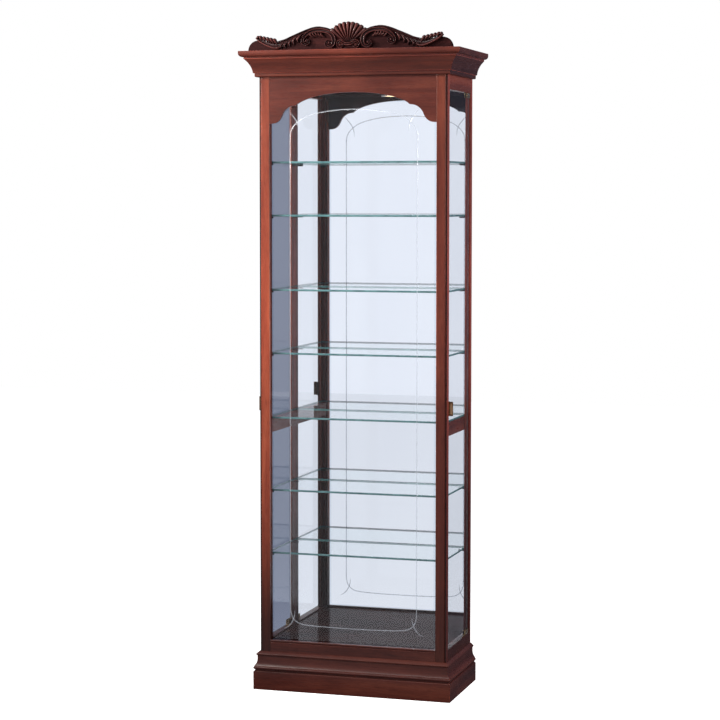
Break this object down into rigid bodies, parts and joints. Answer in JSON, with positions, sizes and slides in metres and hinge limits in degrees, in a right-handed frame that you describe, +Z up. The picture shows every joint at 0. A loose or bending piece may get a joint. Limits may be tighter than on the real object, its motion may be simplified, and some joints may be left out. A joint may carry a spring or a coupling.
{
  "type": "curio cabinet",
  "caption": "Tall narrow display cabinet with a carved shell pediment, arched front glass, mirrored back, glass shelves and two glass side doors.",
  "frame": {"origin": "on the floor under the middle of the cabinet's bounding box", "axes": "+Z up, the front faces -Y, +X to the viewer's right"},
  "size_m": [0.685, 0.3564, 2.021],
  "materials": {
    "front_frame_wood": "satin reddish cherry lacquer",
    "case_wood": "satin reddish cherry lacquer",
    "base_wood": "satin dark cherry lacquer",
    "cornice_wood": "satin reddish cherry lacquer",
    "carved_wood": "dark cherry stain, highlights rubbed through",
    "panel_wood": "gloss dark lacquer",
    "secondary_wood": "unfinished softwood and plywood",
    "mirror_glass": "silvered glass",
    "clear_glass": "clear, polished edges",
    "shelf_glass": "clear, green polished edges",
    "black_rubber": "matte",
    "steel": "zinc plated",
    "brass": "polished",
    "lamp_metal": "satin",
    "bulb_glass": "frosted"
  },
  "bodies": {
    "case": {"plinth_front": "base_wood", "plinth_left": "base_wood", "plinth_right": "base_wood", "plinth_back": "secondary_wood", "base_moulding_front": "base_wood", "base_moulding_left": "base_wood", "base_moulding_right": "base_wood", "corner_blocks": "secondary_wood", "leveler_inserts": "steel", "front_stile_left": "front_frame_wood", "front_stile_right": "front_frame_wood", "front_bottom_rail": "front_frame_wood", "arched_top_rail": "front_frame_wood", "front_glass": "clear_glass", "glass_stops": "case_wood", "front_post_left": "case_wood", "front_post_right": "case_wood", "rear_post_left": "case_wood", "rear_post_right": "case_wood", "door_stops": "case_wood", "side_top_rail_left": "case_wood", "side_top_rail_right": "case_wood", "side_middle_rail_left": "case_wood", "side_middle_rail_right": "case_wood", "side_bottom_rail_left": "case_wood", "side_bottom_rail_right": "case_wood", "floor_panel": "panel_wood", "ceiling_panel": "panel_wood", "roof_panel": "cornice_wood", "top_back_rail": "secondary_wood", "back_panel": "secondary_wood", "mirror": "mirror_glass", "cornice_front": "cornice_wood", "cornice_left": "cornice_wood", "cornice_right": "cornice_wood", "pediment_board": "carved_wood", "pediment_shell": "carved_wood", "pediment_scroll_left": "carved_wood", "pediment_scroll_right": "carved_wood", "shelf_1": "shelf_glass", "shelf_2": "shelf_glass", "shelf_3": "shelf_glass", "shelf_4": "shelf_glass", "shelf_5": "shelf_glass", "shelf_6": "shelf_glass", "shelf_7": "shelf_glass", "shelf_clips": "black_rubber", "lamp_can": "lamp_metal", "lamp_bulb": "bulb_glass", "hinge_bushes": "brass"},
    "right_door": {"right_door_glass": "clear_glass", "right_door_clips": "brass", "right_door_pull": "brass"},
    "left_door": {"left_door_glass": "clear_glass", "left_door_clips": "brass", "left_door_pull": "brass"},
    "leveler_front_left": {"leveler_front_left": "steel"},
    "leveler_front_right": {"leveler_front_right": "steel"},
    "leveler_rear_left": {"leveler_rear_left": "steel"},
    "leveler_rear_right": {"leveler_rear_right": "steel"}
  },
  "joints": [
    {"name": "right_door_hinge", "type": "hinge", "parent": "case", "child": "right_door", "pos_m": [0.288, 0.15175, 0.98], "axis": [0, 0, 1], "range_deg": [0, 100]},
    {"name": "left_door_hinge", "type": "hinge", "parent": "case", "child": "left_door", "pos_m": [-0.288, 0.15175, 0.98], "axis": [0, 0, -1], "range_deg": [0, 100]},
    {"name": "leveler_front_left_screw", "type": "slide", "parent": "case", "child": "leveler_front_left", "axis": [0, 0, -1], "range_m": [0, 0.012]},
    {"name": "leveler_front_right_screw", "type": "slide", "parent": "case", "child": "leveler_front_right", "axis": [0, 0, -1], "range_m": [0, 0.012]},
    {"name": "leveler_rear_left_screw", "type": "slide", "parent": "case", "child": "leveler_rear_left", "axis": [0, 0, -1], "range_m": [0, 0.012]},
    {"name": "leveler_rear_right_screw", "type": "slide", "parent": "case", "child": "leveler_rear_right", "axis": [0, 0, -1], "range_m": [0, 0.012]}
  ]
}
